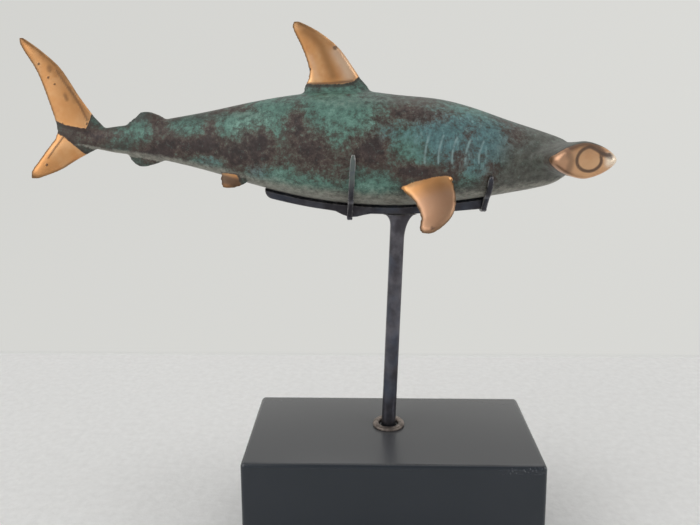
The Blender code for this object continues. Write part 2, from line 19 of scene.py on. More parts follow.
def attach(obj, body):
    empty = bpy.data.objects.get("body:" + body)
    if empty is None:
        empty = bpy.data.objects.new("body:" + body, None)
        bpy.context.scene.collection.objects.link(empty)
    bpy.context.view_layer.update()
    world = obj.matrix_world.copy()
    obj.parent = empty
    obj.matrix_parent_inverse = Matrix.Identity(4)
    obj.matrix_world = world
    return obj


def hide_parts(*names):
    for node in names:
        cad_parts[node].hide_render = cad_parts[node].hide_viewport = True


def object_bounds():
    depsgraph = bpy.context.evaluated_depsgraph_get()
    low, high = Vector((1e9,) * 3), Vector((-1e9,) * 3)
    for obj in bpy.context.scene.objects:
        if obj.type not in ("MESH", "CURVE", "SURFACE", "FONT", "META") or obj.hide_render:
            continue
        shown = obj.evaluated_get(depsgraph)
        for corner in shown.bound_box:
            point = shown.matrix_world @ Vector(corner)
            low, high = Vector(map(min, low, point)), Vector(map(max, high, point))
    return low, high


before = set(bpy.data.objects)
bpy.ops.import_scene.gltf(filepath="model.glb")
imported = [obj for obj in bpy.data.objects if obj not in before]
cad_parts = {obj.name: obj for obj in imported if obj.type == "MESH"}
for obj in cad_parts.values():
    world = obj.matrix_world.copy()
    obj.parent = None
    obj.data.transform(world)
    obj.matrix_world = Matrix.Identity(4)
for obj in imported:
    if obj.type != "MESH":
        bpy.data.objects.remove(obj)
cad_box = [list(corner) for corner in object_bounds()]
print("nodes:", sorted(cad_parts))
print("size in mm:", [round(1000 * (b - a), 1) for a, b in zip(*cad_box)])

# %% [markdown]
# Every place on the shark is given from its seat, the point of the belly that lies over the post.
# It is easier to think of a fin as 30 mm behind the seat than as a place in the room.

# %% The seat
SEAT = Vector((0.003567, 0.0040, 0.1847))
print("seat:", [round(1000 * c, 1) for c in SEAT], "mm")

# %% [markdown]
# ## The camera
#
# The photograph was taken from a little above the shark, so the block's top shows. A lens of 36 mm
# on a 36 mm sensor has the same perspective. The picture is the lower part of a taller one, and
# the lens shift says so: the horizon stays where it was while the frame moves down.

# %% Camera
CAMERA_PLACE = Vector((-0.01262, -0.37629, 0.25197))
CAMERA_PITCH = math.radians(9.074)
CAMERA_ROLL = math.radians(-0.272)
CAMERA_YAW = math.radians(-1.543)

level = Vector((math.sin(CAMERA_YAW), math.cos(CAMERA_YAW), 0))
sideways = Vector((math.cos(CAMERA_YAW), -math.sin(CAMERA_YAW), 0))
upright = Vector((0, 0, 1))
forward = level * math.cos(CAMERA_PITCH) - upright * math.sin(CAMERA_PITCH)
lifted = upright * math.cos(CAMERA_PITCH) + level * math.sin(CAMERA_PITCH)
right = sideways * math.cos(CAMERA_ROLL) + lifted * math.sin(CAMERA_ROLL)
up = lifted * math.cos(CAMERA_ROLL) - sideways * math.sin(CAMERA_ROLL)

lens = bpy.data.cameras.new("camera")
lens.lens = 36
lens.sensor_width = 36
lens.shift_y = -0.1
lens.clip_start, lens.clip_end = 0.01, 20
camera = bpy.data.objects.new("camera", lens)
turn = Matrix((right, up, -forward)).transposed().to_4x4()
camera.matrix_world = Matrix.Translation(CAMERA_PLACE) @ turn
bpy.context.scene.collection.objects.link(camera)
bpy.context.scene.camera = camera
print("camera is", round((CAMERA_PLACE - SEAT).length, 3), "m from the seat")

# %% [markdown]
# ## The room
#
# A table and a pale wall are enough. They are one sheet that runs back and then curves up, as in a
# photographer's studio, so no line shows behind the object from other sides. The table's colour
# stops where the wall begins in the photograph, and beyond that line the sheet has the wall's.

# %% Helpers for shader nodes
def add(tree, kind, **values):
    """A new node. Values are set on its inputs by name, or on the node itself."""
    node = tree.nodes.new("ShaderNode" + kind)
    for name, value in values.items():
        socket = node.inputs.get(name.replace("_", " "))
        if socket is None:
            setattr(node, name, value)
        else:
            socket.default_value = value
    return node


def math_node(tree, operation, first, second, clamp=False):
    """A Math node. Each side is a socket or a number."""
    node = add(tree, "Math", operation=operation, use_clamp=clamp)
    for socket, value in zip(node.inputs, (first, second)):
        if isinstance(value, (int, float)):
            socket.default_value = value
        else:
            tree.links.new(value, socket)
    return node.outputs[0]


def new_material(name):
    """A material with only its Principled shader and output."""
    material = bpy.data.materials.new(name)
    material.use_nodes = True
    tree = material.node_tree
    return material, tree, tree.nodes["Principled BSDF"]


# %% The table and wall
WALL_COLOUR = (0.685, 0.685, 0.660, 1)
TABLE_BACK = 0.245
WALL_DISTANCE = 1.6
WALL_HEIGHT = 3.0
COVE_RADIUS = 0.5
COVE_STEPS = 12
SHEET_REACH = 8.0


def sweep_mesh():
    """The sheet: flat table, quarter-round cove, upright wall."""
    cove_start = WALL_DISTANCE - COVE_RADIUS
    line = [(-SHEET_REACH, 0.0), (TABLE_BACK, 0.0), (cove_start, 0.0)]
    for k in range(1, COVE_STEPS + 1):
        angle = math.pi / 2 * k / COVE_STEPS
        line.append((cove_start + COVE_RADIUS * math.sin(angle), COVE_RADIUS * (1 - math.cos(angle))))
    line.append((WALL_DISTANCE, WALL_HEIGHT))
    shape = bmesh.new()
    rows = [[shape.verts.new((x, y, z)) for x in (-SHEET_REACH, SHEET_REACH)] for y, z in line]
    for near, far in zip(rows, rows[1:]):
        shape.faces.new((near[0], near[1], far[1], far[0]))
    mesh = bpy.data.meshes.new("room")
    shape.to_mesh(mesh)
    shape.free()
    mesh.shade_smooth()
    return mesh


room = bpy.data.objects.new("room", sweep_mesh())
bpy.context.scene.collection.objects.link(room)
print("wall is", WALL_DISTANCE, "m behind the block")

# %% [markdown]
# The wall is a glow for camera rays and reflections. It is a little darker to the left and brighter
# to the right, as painted light falloff, and it lights the object as any pale wall does. The table
# is plain matt paint with a faint weave, so that the block's soft shadow stays on it. Far from the
# object the table fades to the wall's colour, on every side.

# %% Room material
TABLE_LINE = (TABLE_BACK - 0.004, TABLE_BACK + 0.004)
TABLE_FADE = (0.5, 1.3)
TABLE_SHADE = (0.74, 0.73, 0.715, 1)
TABLE_PALE = (0.92, 0.915, 0.90, 1)
TABLE_GLOW = (0.80, 0.80, 0.79, 1)
TABLE_LIFT = 0.08


def room_material():
    material, tree, shader = new_material("pale_room")
    place = add(tree, "TexCoord").outputs["Object"]
    split = add(tree, "SeparateXYZ")
    tree.links.new(place, split.inputs[0])
    back = add(tree, "MapRange", From_Min=TABLE_LINE[0], From_Max=TABLE_LINE[1])
    tree.links.new(split.outputs["Y"], back.inputs["Value"])
    reach = add(tree, "VectorMath", operation="LENGTH")
    tree.links.new(place, reach.inputs[0])
    distant = add(tree, "MapRange", From_Min=TABLE_FADE[0], From_Max=TABLE_FADE[1])
    distant.interpolation_type = "SMOOTHSTEP"
    tree.links.new(reach.outputs["Value"], distant.inputs["Value"])
    beyond = math_node(tree, "MAXIMUM", back.outputs[0], distant.outputs[0])

    weave = add(tree, "TexNoise", Scale=210.0, Detail=4.0, Roughness=0.6)
    tree.links.new(place, weave.inputs["Vector"])
    table = add(tree, "MixRGB", Color1=TABLE_SHADE, Color2=TABLE_PALE)
    tree.links.new(weave.outputs["Fac"], table.inputs["Fac"])
    colour = add(tree, "MixRGB", Color2=WALL_COLOUR)
    tree.links.new(beyond, colour.inputs["Fac"])
    tree.links.new(table.outputs[0], colour.inputs["Color1"])
    tree.links.new(colour.outputs[0], shader.inputs["Base Color"])
    shader.inputs["Roughness"].default_value = 0.9
    shader.inputs["Specular IOR Level"].default_value = 0.1
    bump = add(tree, "Bump", Strength=0.5, Distance=0.0008)
    tree.links.new(weave.outputs["Fac"], bump.inputs["Height"])
    tree.links.new(bump.outputs[0], shader.inputs["Normal"])

    seen = add(tree, "LightPath")
    shader.inputs["Emission Color"].default_value = TABLE_GLOW
    lift = math_node(tree, "MULTIPLY", seen.outputs["Is Camera Ray"], TABLE_LIFT)
    tree.links.new(lift, shader.inputs["Emission Strength"])
    glow = add(tree, "Emission", Color=WALL_COLOUR)
    # Painted light falloff: the wall's glow is a little darker to the left and brighter to the right.
    slope = add(tree, "MapRange", From_Min=-1.2, From_Max=1.2, To_Min=0.95, To_Max=1.04)
    tree.links.new(split.outputs["X"], slope.inputs["Value"])
    tree.links.new(slope.outputs[0], glow.inputs["Strength"])
    straight = math_node(tree, "MAXIMUM", seen.outputs["Is Camera Ray"], seen.outputs["Is Glossy Ray"])
    mixed = add(tree, "MixShader")
    tree.links.new(math_node(tree, "MULTIPLY", straight, beyond), mixed.inputs["Fac"])
    tree.links.new(shader.outputs[0], mixed.inputs[1])
    tree.links.new(glow.outputs[0], mixed.inputs[2])
    tree.links.new(mixed.outputs[0], tree.nodes["Material Output"].inputs["Surface"])
    return material


room.data.materials.append(room_material())
print("room material:", room.data.materials[0].name)

# %% [markdown]
# ## The light
#
# Daylight from a window is broad and soft. A large lamp in front on the left gives the fins their
# sheen, a weaker one on the right keeps the other side from going black, and a faint one above
# lights the back. The room behind the camera is nearly as bright as the wall at eye level and
# darker towards the ceiling. That is why the upright fins shine, and the shark's back does not.

# %% World
EYE_LEVEL_LIGHT = 0.57
CEILING_LIGHT = 0.36


def world_light():
    world = bpy.data.worlds.new("soft_room")
    bpy.context.scene.world = world
    world.use_nodes = True
    tree = world.node_tree
    background = tree.nodes["Background"]
    split = add(tree, "SeparateXYZ")
    tree.links.new(add(tree, "TexCoord").outputs["Generated"], split.inputs[0])
    height = add(tree, "MapRange", From_Min=0.1, From_Max=0.85)
    height.inputs["To Min"].default_value = EYE_LEVEL_LIGHT
    height.inputs["To Max"].default_value = CEILING_LIGHT
    tree.links.new(split.outputs["Z"], height.inputs["Value"])
    depth = add(tree, "MapRange", From_Min=-1.0, From_Max=0.4, To_Min=1.0, To_Max=0.85)
    tree.links.new(split.outputs["Y"], depth.inputs["Value"])
    seen = add(tree, "LightPath").outputs["Is Camera Ray"]
    strength = add(tree, "Mix", data_type="FLOAT")
    tree.links.new(seen, strength.inputs[0])
    tree.links.new(math_node(tree, "MULTIPLY", height.outputs[0], depth.outputs[0]), strength.inputs[2])
    strength.inputs[3].default_value = WALL_COLOUR[0]
    tree.links.new(strength.outputs[0], background.inputs["Strength"])
    tint = add(tree, "MixRGB", Color1=(0.98, 0.99, 1.0, 1))
    tint.inputs["Color2"].default_value = (*(c / WALL_COLOUR[0] for c in WALL_COLOUR[:3]), 1)
    tree.links.new(seen, tint.inputs["Fac"])
    tree.links.new(tint.outputs[0], background.inputs["Color"])
    return world


print("world:", world_light().name)

# %% Lamps
LIT_PLACE = (0, 0, 0.15)


def lamp(name, place, size, power):
    """A square soft lamp that faces the object."""
    data = bpy.data.lights.new(name, "AREA")
    data.size = size
    data.energy = power
    obj = bpy.data.objects.new(name, data)
    obj.location = place
    obj.rotation_euler = (Vector(LIT_PLACE) - Vector(place)).to_track_quat("-Z", "Y").to_euler()
    bpy.context.scene.collection.objects.link(obj)


lamp("window", (-2.0, -1.0, 1.3), size=2.4, power=27.5)
lamp("fill", (1.5, -0.4, 0.7), size=1.0, power=7.0)
lamp("above", (0.1, 0.4, 1.3), size=1.2, power=3.4)
bpy.context.scene.view_settings.view_transform = "Standard"

# %% [markdown]
# ## Shared shader groups
#
# Two effects come back in nearly every material here. Each is built once as a node group with
# named inputs. *Mottle* turns noise into a soft-edged mask, for patina and tarnish. *Fine grain*
# gives a small height and a small change in roughness, so that nothing looks like plastic. A third
# group, *line band*, turns a distance in millimetres into a stripe, for the edge of the polish.

# %% Group helpers
def new_group(name, inputs, outputs):
    """A node group with (name, default) inputs and output names. No default means a vector."""
    tree = bpy.data.node_groups.new(name, "ShaderNodeTree")
    for label, default in inputs:
        kind = "NodeSocketVector" if default is None else "NodeSocketFloat"
        socket = tree.interface.new_socket(label, in_out="INPUT", socket_type=kind)
        if default is not None:
            socket.default_value = default
    for label in outputs:
        tree.interface.new_socket(label, in_out="OUTPUT", socket_type="NodeSocketFloat")
    return tree, tree.nodes.new("NodeGroupInput"), tree.nodes.new("NodeGroupOutput")


def use(tree, group, **values):
    """Places a group in a material, with its own values."""
    node = tree.nodes.new("ShaderNodeGroup")
    node.node_tree = group
    for name, value in values.items():
        node.inputs[name].default_value = value
    return node


# %% Group: mottle
def mottle_group():
    inputs = [("Vector", None), ("Scale", 100.0), ("Detail", 5.0), ("Breakup", 0.6)]
    inputs += [("From", 0.45), ("To", 0.6)]
    tree, start, end = new_group("mottle", inputs, ["Mask", "Noise"])
    noise = add(tree, "TexNoise")
    for name, target in (("Vector", "Vector"), ("Scale", "Scale"), ("Detail", "Detail"),
                         ("Breakup", "Roughness")):
        tree.links.new(start.outputs[name], noise.inputs[target])
    spread = add(tree, "MapRange", interpolation_type="SMOOTHSTEP")
    tree.links.new(noise.outputs["Fac"], spread.inputs["Value"])
    tree.links.new(start.outputs["From"], spread.inputs["From Min"])
    tree.links.new(start.outputs["To"], spread.inputs["From Max"])
    tree.links.new(spread.outputs[0], end.inputs["Mask"])
    tree.links.new(noise.outputs["Fac"], end.inputs["Noise"])
    return tree


mottle = mottle_group()
print("group:", mottle.name, [s.name for s in mottle.interface.items_tree])

# %% Group: fine grain
def fine_grain_group():
    inputs = [("Vector", None), ("Scale", 900.0), ("Roughness", 0.5), ("Spread", 0.1)]
    tree, start, end = new_group("fine_grain", inputs, ["Height", "Roughness"])
    noise = add(tree, "TexNoise", Detail=3.0)
    tree.links.new(start.outputs["Vector"], noise.inputs["Vector"])
    tree.links.new(start.outputs["Scale"], noise.inputs["Scale"])
    centred = math_node(tree, "SUBTRACT", noise.outputs["Fac"], 0.5)
    change = math_node(tree, "MULTIPLY", centred, start.outputs["Spread"])
    rough = math_node(tree, "ADD", change, start.outputs["Roughness"])
    tree.links.new(noise.outputs["Fac"], end.inputs["Height"])
    tree.links.new(rough, end.inputs["Roughness"])
    return tree


fine_grain = fine_grain_group()
print("group:", fine_grain.name)

# %% Group: line band
def line_band_group():
    """1 where a distance lies between two values, with soft edges."""
    inputs = [("Distance", 0.0), ("Near", 0.0), ("Far", 1.0), ("Softness", 0.2)]
    tree, start, end = new_group("line_band", inputs, ["Mask"])
    distance, near, far, softness = (start.outputs[name] for name, _ in inputs)
    sides = []
    for high, low in ((distance, near), (far, distance)):
        inside = math_node(tree, "DIVIDE", math_node(tree, "SUBTRACT", high, low), softness)
        sides.append(math_node(tree, "ADD", inside, 0.5, clamp=True))
    tree.links.new(math_node(tree, "MULTIPLY", *sides), end.inputs["Mask"])
    return tree


line_band = line_band_group()
print("group:", line_band.name)

# %% [markdown]
# ## The cast shark
#
# On the real casting every fin flows into the body in a small hollow curve, because the pattern
# was modelled in wax and the mould can't hold a sharp inner corner. The CAD solid joins its fins
# with plain intersections. A voxel remesh turns the solid into an even skin, which can then be
# smoothed: everywhere a little, and more where the skin is hollow, which is where the fins meet
# the body. The engraved lines are held still, or they would fade.
#
# Voxels leave small steps, which show as teeth on a thin rim. So the skin is first laid on the CAD
# surface, and after smoothing, the fins' points are pushed out to that surface again.

# %% Copy a CAD node
def copy_of(node, name):
    """A CAD node's mesh as a new object, its corners joined and its normals freed."""
    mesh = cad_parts[node].data.copy()
    mesh.name = name
    mesh.materials.clear()
    shape = bmesh.new()
    shape.from_mesh(mesh)
    bmesh.ops.remove_doubles(shape, verts=shape.verts, dist=0.00001)
    shape.to_mesh(mesh)
    shape.free()
    if "custom_normal" in mesh.attributes:
        mesh.attributes.remove(mesh.attributes["custom_normal"])
    obj = bpy.data.objects.new(name, mesh)
    bpy.context.scene.collection.objects.link(obj)
    return obj


def apply_modifiers(obj):
    """Bakes an object's modifiers into its mesh."""
    graph = bpy.context.evaluated_depsgraph_get()
    made = bpy.data.meshes.new_from_object(obj.evaluated_get(graph))
    obj.modifiers.clear()
    obj.data = made
    return made


# %% An even skin
SKIN_SIZE = 0.0008

casting = copy_of("shark", "cast_shark")
remesh = casting.modifiers.new("even_skin", "REMESH")
remesh.mode = "VOXEL"
remesh.voxel_size = SKIN_SIZE
remesh.use_smooth_shade = True
skin = apply_modifiers(casting)
print("skin:", len(skin.vertices), "points,", len(skin.polygons), "faces")

# %% Points as arrays
def rows_of(mesh, field):
    """Each point's place, with field co, or its normal, with field normal."""
    flat = np.empty(len(mesh.vertices) * 3)
    mesh.vertices.foreach_get(field, flat)
    return flat.reshape(-1, 3)


def put_points(mesh, points):
    mesh.vertices.foreach_set("co", points.ravel())
    mesh.update()


edges = np.empty(len(skin.edges) * 2, np.int64)
skin.edges.foreach_get("vertices", edges)
edges = edges.reshape(-1, 2)
neighbour_count = np.bincount(edges.ravel(), minlength=len(skin.vertices)).astype(float)
print("neighbours of a point:", int(neighbour_count.min()), "to", int(neighbour_count.max()))

# %% Means over a point's neighbours
def neighbour_mean(values):
    """The mean of each point's neighbours, for one number a point."""
    total = np.bincount(edges[:, 0], values[edges[:, 1]], len(neighbour_count))
    total += np.bincount(edges[:, 1], values[edges[:, 0]], len(neighbour_count))
    return total / neighbour_count


def neighbour_mean_rows(rows):
    """The same for three numbers a point."""
    return np.stack([neighbour_mean(rows[:, k]) for k in range(3)], axis=1)


def relax(points, weight, rounds, pull=0.5, push=0.0):
    """Moves each point towards its neighbours' mean, then back out by push to keep the bulk."""
    for _ in range(rounds):
        for amount in (pull, -push):
            if amount:
                points = points + (neighbour_mean_rows(points) - points) * (amount * weight)[:, None]
    return points


# %% [markdown]
# The engraved lines are the eye ring with its nostril, the gill slits and the mouth. Their paths
# are the same as in the CAD source. The distance from each point of the skin to the nearest line
# is kept as an attribute, which a material can read to darken or brighten the line.

# %% Where the lines run, in millimetres from the seat
HAMMER_HEIGHT = 25.6
HAMMER_HALF_SPAN = 40.0
HAMMER_ROLL = math.radians(4.2)
EYE_MIDDLE = 90.7
EYE_REACH = (5.9, 5.3)
EYE_OPENING = 0.22
NOSTRIL = ((3.6, 5.0), (6.0, 3.4), (8.2, 2.6), (10.3, 2.6))
GILLS = 5
GILL_START = (12.4, 25.6)
GILL_SPACING = 6.9
GILL_LENGTH = 15.0
GILL_SHORTENING = 0.07
GILL_LEAN = 2.6
GILL_BOW = 0.9
MOUTH_FRONT = 79.0
MOUTH_LENGTH = 18.0
MOUTH_HALF_WIDTH = 9.2


def eye_line():
    """A ring that opens in its second half and then runs out along the nostril."""
    points = []
    for share in np.linspace(0, 1, 91):
        angle = math.radians(20 - 300 * share)
        rise = EYE_REACH[1] * (1 + EYE_OPENING * max(0.0, 2 * share - 1))
        points.append((EYE_MIDDLE + EYE_REACH[0] * math.cos(angle), rise * math.sin(angle)))
    for along, height in NOSTRIL:
        a, b = points[-1]
        for share in np.linspace(0, 1, 9)[1:]:
            points.append((a + (EYE_MIDDLE + along - a) * share, b + (height - b) * share))
    return points


def gill_lines():
    points = []
    for gill in range(GILLS):
        length = GILL_LENGTH * (1 - GILL_SHORTENING * gill)
        for t in np.linspace(0, 1, 31):
            along = GILL_START[0] + GILL_SPACING * gill + GILL_LEAN * t - 4 * t * (1 - t) * GILL_BOW
            points.append((along, GILL_START[1] + length * t))
    return points


def mouth_line():
    return [(MOUTH_FRONT - MOUTH_LENGTH * t * t, MOUTH_HALF_WIDTH * t) for t in np.linspace(-1, 1, 61)]


print("eye line:", len(eye_line()), "points, gill lines:", len(gill_lines()))

# %% Distance to a line
LINE_REACH = 4.0


def distance_to(line, first, second, region):
    """Distance in mm from a region's points to a line, seen flat and capped at LINE_REACH."""
    tree = kdtree.KDTree(len(line))
    for k, (a, b) in enumerate(line):
        tree.insert((a, b, 0), k)
    tree.balance()
    distance = np.full(len(first), LINE_REACH)
    for k in np.flatnonzero(region):
        distance[k] = min(LINE_REACH, tree.find((first[k], second[k], 0))[2])
    return distance


# %% Measure the skin
def from_seat(points):
    """The three columns of some points, in millimetres from the seat."""
    return (1000 * (points - np.array(SEAT))).T


x, y, z = from_seat(rows_of(skin, "co"))
eye_height = HAMMER_HEIGHT - np.sign(y) * HAMMER_HALF_SPAN * math.tan(HAMMER_ROLL)
at_ends = (np.abs(y) > 26) & (x > 78)
eye_distance = distance_to(eye_line(), x, z - eye_height, at_ends)
at_gills = (x > 6) & (x < 50) & (z > 21) & (z < 45) & (np.abs(y) > 10)
gill_distance = distance_to(gill_lines(), x, z, at_gills)
at_mouth = (x > 55) & (x < 84) & (np.abs(y) < 13) & (z < 20)
mouth_distance = distance_to(mouth_line(), x, y, at_mouth)
line_distance = np.minimum(np.minimum(eye_distance, gill_distance), mouth_distance)
print("points near an engraved line:", int((line_distance < 1).sum()))

# %% Lay the skin on the solid
CLEAR_OF_LINES = 1.6

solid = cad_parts["shark"].data
surface = BVHTree.FromPolygons(
    [v.co for v in solid.vertices], [list(p.vertices) for p in solid.polygons]
)


def laid_on_solid(points):
    """Each point moved to the nearest place on the CAD surface."""
    return np.array([surface.find_nearest(Vector(point))[0] for point in points])


def pushed_to_solid(points, normals, back=0.0002, reach=0.0011):
    """Each point moved out along its normal to the CAD surface, where that is within reach."""
    moved = points.copy()
    for k, (point, normal) in enumerate(zip(points, normals)):
        direction = Vector(normal)
        hit = surface.ray_cast(Vector(point) - direction * back, direction, reach)[0]
        if hit is not None:
            moved[k] = hit
    return moved


laid = rows_of(skin, "co")
open_skin = line_distance > CLEAR_OF_LINES
laid[open_skin] = laid_on_solid(laid[open_skin])
print("points laid on the solid:", int(open_skin.sum()))

# %% Smooth the skin
SMOOTHING_ROUNDS = 50
FIN_SHARE = 0.85
RIM_ROUNDS = (6, 4, 2)

thin_fin = (z > 62) | (x < -150) | ((np.abs(y) > 18) & (z < 12))
freedom = np.clip((line_distance - 0.8) / 0.8, 0.05, 1.0)
freedom[thin_fin] *= FIN_SHARE
smooth = relax(laid, freedom, SMOOTHING_ROUNDS, push=0.52)
for rounds in RIM_ROUNDS:
    put_points(skin, smooth)
    smooth[thin_fin] = pushed_to_solid(smooth[thin_fin], rows_of(skin, "normal")[thin_fin])
    smooth = relax(smooth, FIN_SHARE * thin_fin, rounds, push=0.49)
put_points(skin, smooth)
print("points on thin fins:", int(thin_fin.sum()))

# %% Hollow the fins' roots
ROOT_ROUNDS = 40

inward = neighbour_mean_rows(smooth) - smooth
hollow = (inward * rows_of(skin, "normal")).sum(axis=1) / SKIN_SIZE
for _ in range(3):
    hollow = 0.5 * hollow + 0.5 * neighbour_mean(hollow)
root = np.clip((hollow - 0.006) / 0.02, 0, 1) * np.clip(line_distance - CLEAR_OF_LINES, 0, 1)
for _ in range(5):
    root = np.maximum(root, 0.92 * neighbour_mean(root))
smooth = np.clip(relax(smooth, root, ROOT_ROUNDS), *cad_box)
put_points(skin, smooth)

even = rows_of(skin, "normal")
for _ in range(6):
    even = even + (neighbour_mean_rows(even) - even) * (0.7 * freedom)[:, None]
    even /= np.maximum(np.linalg.norm(even, axis=1), 1e-9)[:, None]
print("points in a fin's root:", int((root > 0.5).sum()))

# %% [markdown]
# ## Where the metal is polished
#
# After the patina was set, the maker polished the fins and hammer ends back to bare metal, up to
# lines drawn by eye. A distance to such a line, positive on the polished side, is worth more than
# a painted mask: it stays sharp between the skin's points, and a shader can draw the dark line
# that the polishing left along its edge from the same number.

# %% How far a point of the skin stands outside the trunk
# Each station is along, height of the back, height of the belly and half width.
TRUNK = (
    (-172.0, 40.5, 32.5, 2.2), (-157.6, 42.7, 29.2, 4.8), (-140.0, 44.9, 26.8, 7.0),
    (-124.4, 47.4, 23.8, 9.0), (-103.0, 51.2, 18.4, 12.4), (-75.0, 57.0, 10.1, 18.0),
    (-48.6, 60.8, 4.0, 22.5), (-24.0, 62.2, 0.9, 25.2), (0.0, 59.6, 0.0, 26.2),
    (22.0, 57.3, 1.4, 25.6), (38.3, 53.2, 3.4, 24.2), (59.9, 45.6, 6.8, 21.0),
    (81.5, 38.4, 11.4, 17.0), (90.0, 34.7, 16.7, 14.0), (96.5, 28.5, 22.7, 7.5),
)
TRUNK_FULLNESS = 2.15

x, y, z = from_seat(smooth)
along, backs, bellies, widths = np.array(TRUNK).T
back, belly, half_width = (np.interp(x, along, column) for column in (backs, bellies, widths))
middle = (back + belly) / 2
oval = (
    (np.abs(y) / half_width) ** TRUNK_FULLNESS
    + (np.abs(z - middle) / ((back - belly) / 2)) ** TRUNK_FULLNESS
) ** (1 / TRUNK_FULLNESS)
outside_body = np.hypot(y, z - middle) * (1 - 1 / np.maximum(oval, 0.05))
up_facing = rows_of(skin, "normal")[:, 2]
print("points standing off the trunk:", int((outside_body > 1).sum()))

# %% Distance inside the polished metal, in millimetres
polish = np.full(len(x), -9.0)


def polish_where(region, distance):
    """Takes the larger distance inside a region."""
    polish[region] = np.maximum(polish[region], distance[region])


dorsal_edge = np.interp(
    x, [-60, -44, -30, -24.5, -21.6, -18], [66.2, 65.3, 65.6, 66.7, 69.1, 74]
)
polish_where((z > 60) & (x > -62) & (x < 0), z - dorsal_edge)

upper_edge = np.interp(
    x, [-190, -186, -182, -170, -168.5, -165], [47.5, 45.8, 44.0, 42.0, 45.0, 57.0]
)
polish_where((x < -150) & (z > 40), (z - upper_edge) * 0.9)

lower_edge = np.interp(x, [-190, -183, -171.5, -165], [41.0, 38.0, 28.0, 22.0])
polish_where((x < -150) & (z < 41), (lower_edge - z) * 0.75)

root_line = np.interp(
    x, [-4, -1, 8, 16, 23.5, 27, 33], [11.0, 12.6, 16.1, 18.2, 19.2, 18.6, 18.0]
)
off_trunk = 4.0 * (outside_body - 0.6)
pectoral = np.minimum(root_line - z, off_trunk)
polish_where((x > -8) & (x < 34) & (z < 24) & (z > -20) & (np.abs(y) > 14), pectoral)

pelvic = np.minimum(np.interp(z, [8, 12, 19], [-83.0, -84.0, -87.0]) - x, off_trunk)
polish_where((x < -72) & (x > -98) & (z < 19) & (np.abs(y) > 4), pelvic)

end_line = np.interp(x, [72, 76, 80, 86, 96, 110], [33.5, 33.0, 31.5, 31.0, 31.2, 28.0])
hammer_end = np.abs(y) - end_line - 22.0 * np.clip(up_facing - 0.56, 0, 1)
polish_where((x > 71) & (np.abs(y) > 20), hammer_end)
print("polished points:", int((polish > 0).sum()), "of", len(polish))

# %% [markdown]
# ## Where the patina is brown, green or blue
#
# The patina was dabbed on in patches. Each patch below is an ellipse in side view, from the seat
# in millimetres: its middle, its reach along and up, and its strength. Their soft sum says how
# strong a colour is at a place, and noise in the material breaks their edges up. The far side
# gets the same patches turned end for end, since nobody dabs both sides alike.

# %% Patches
BROWN = (
    (-129, 47, 6, 6, 1.0), (-126, 32, 17, 6, 1.0), (-134, 27, 7, 4, 0.8), (-100, 40, 5, 8, 0.9),
    (-108, 34, 9, 4, 0.7), (-86, 53, 10, 3, 0.8), (-73, 33, 9, 10, 1.1), (-88, 29, 9, 7, 1.0),
    (-54, 49, 5, 7, 0.7), (-43, 29, 15, 9, 1.1), (-50, 40, 6, 5, 0.5), (-15, 35, 8, 7, 1.1),
    (-11, 27, 12, 5, 0.45), (8, 50, 17, 6, 1.0), (6, 21, 8, 4.5, 1.1), (29, 24, 6, 7, 0.9),
    (17, 21, 8, 3, 0.5), (46, 20, 4, 7, 0.8), (35, 37, 4, 7, 0.4), (60, 40, 7, 6, 0.8),
    (76, 26, 4, 4, 0.9), (-160, 38, 9, 4, 0.6), (-176, 38, 12, 7, 0.9), (-30, 18, 4, 5, 0.4),
)
GREEN = (
    (-143, 41, 9, 4, 0.6), (-112, 43, 9, 4, 0.6), (-86, 42, 6, 8, 1.0), (-71, 48, 11, 8, 1.1),
    (-102, 26, 8, 5, 0.7), (-75, 20, 6, 5, 0.6), (-64, 19, 8, 6, 0.6), (-36, 59, 15, 5, 0.8),
    (-35, 45, 14, 9, 1.1), (-13, 47, 8, 7, 0.9), (6, 34, 8, 9, 0.9), (-47, 15, 22, 6, 0.8),
    (-15, 12, 9, 5, 1.0), (35, 51, 13, 6, 0.5), (22, 43, 12, 7, 0.8), (65, 24, 8, 3, 0.4),
    (35, 20, 5, 5, 0.6),
)
BLUE = (
    (35, 36, 24, 11, 1.1), (22, 44, 14, 8, 0.7), (-102, 25, 7, 5, 0.7), (-75, 20, 7, 6, 0.8),
    (-8, 42, 7, 6, 0.5), (40, 20, 9, 6, 0.4),
)
GREY = (
    (78, 28, 24, 14, 1.1), (67, 15, 20, 6, 1.0), (0, 57, 45, 4, 0.6), (-100, 50, 45, 3, 0.5),
    (67, 31, 10, 9, 0.6), (40, 8, 30, 5, 0.6), (-90, 17, 10, 4, 0.6),
)
FAR_SIDE_TURN = -58.0


def patch_field(patches):
    """The soft sum of the patches at each point of the skin."""
    far = np.clip(0.5 + y / 6, 0, 1)
    total = np.zeros(len(x))
    for place, share in ((x, 1 - far), (FAR_SIDE_TURN - x, far)):
        for middle, height, along, rise, strength in patches:
            off = ((place - middle) / along) ** 2 + ((z - height) / rise) ** 2
            total += share * strength * np.exp(-0.7 * off)
    return total


def keep(name, values):
    """Stores one number per point, for a shader's Attribute node."""
    layer = skin.attributes.new(name, "FLOAT", "POINT")
    layer.data.foreach_set("value", np.asarray(values, np.float32))


head = np.clip((x - 55) / 20, 0, 1)
keep("polish", polish)
keep("brown", patch_field(BROWN) - 0.25 * head)
keep("green", patch_field(GREEN))
keep("blue", patch_field(BLUE))
keep("grey", np.maximum(patch_field(GREY), 0.8 * head))
# Painted reflection: the lowest part of the flanks is lightened, as if it mirrored the pale table.
under = np.clip((middle - z) / ((back - belly) / 2), 0, 2)
keep("belly", np.clip((under - 0.56) / 0.3, 0, 1) * (outside_body < 1.2))
keep("eye_line", eye_distance)
keep("gill_line", gill_distance)
keep("mouth_line", mouth_distance)
print("attributes:", [a.name for a in skin.attributes if a.data_type == "FLOAT"])

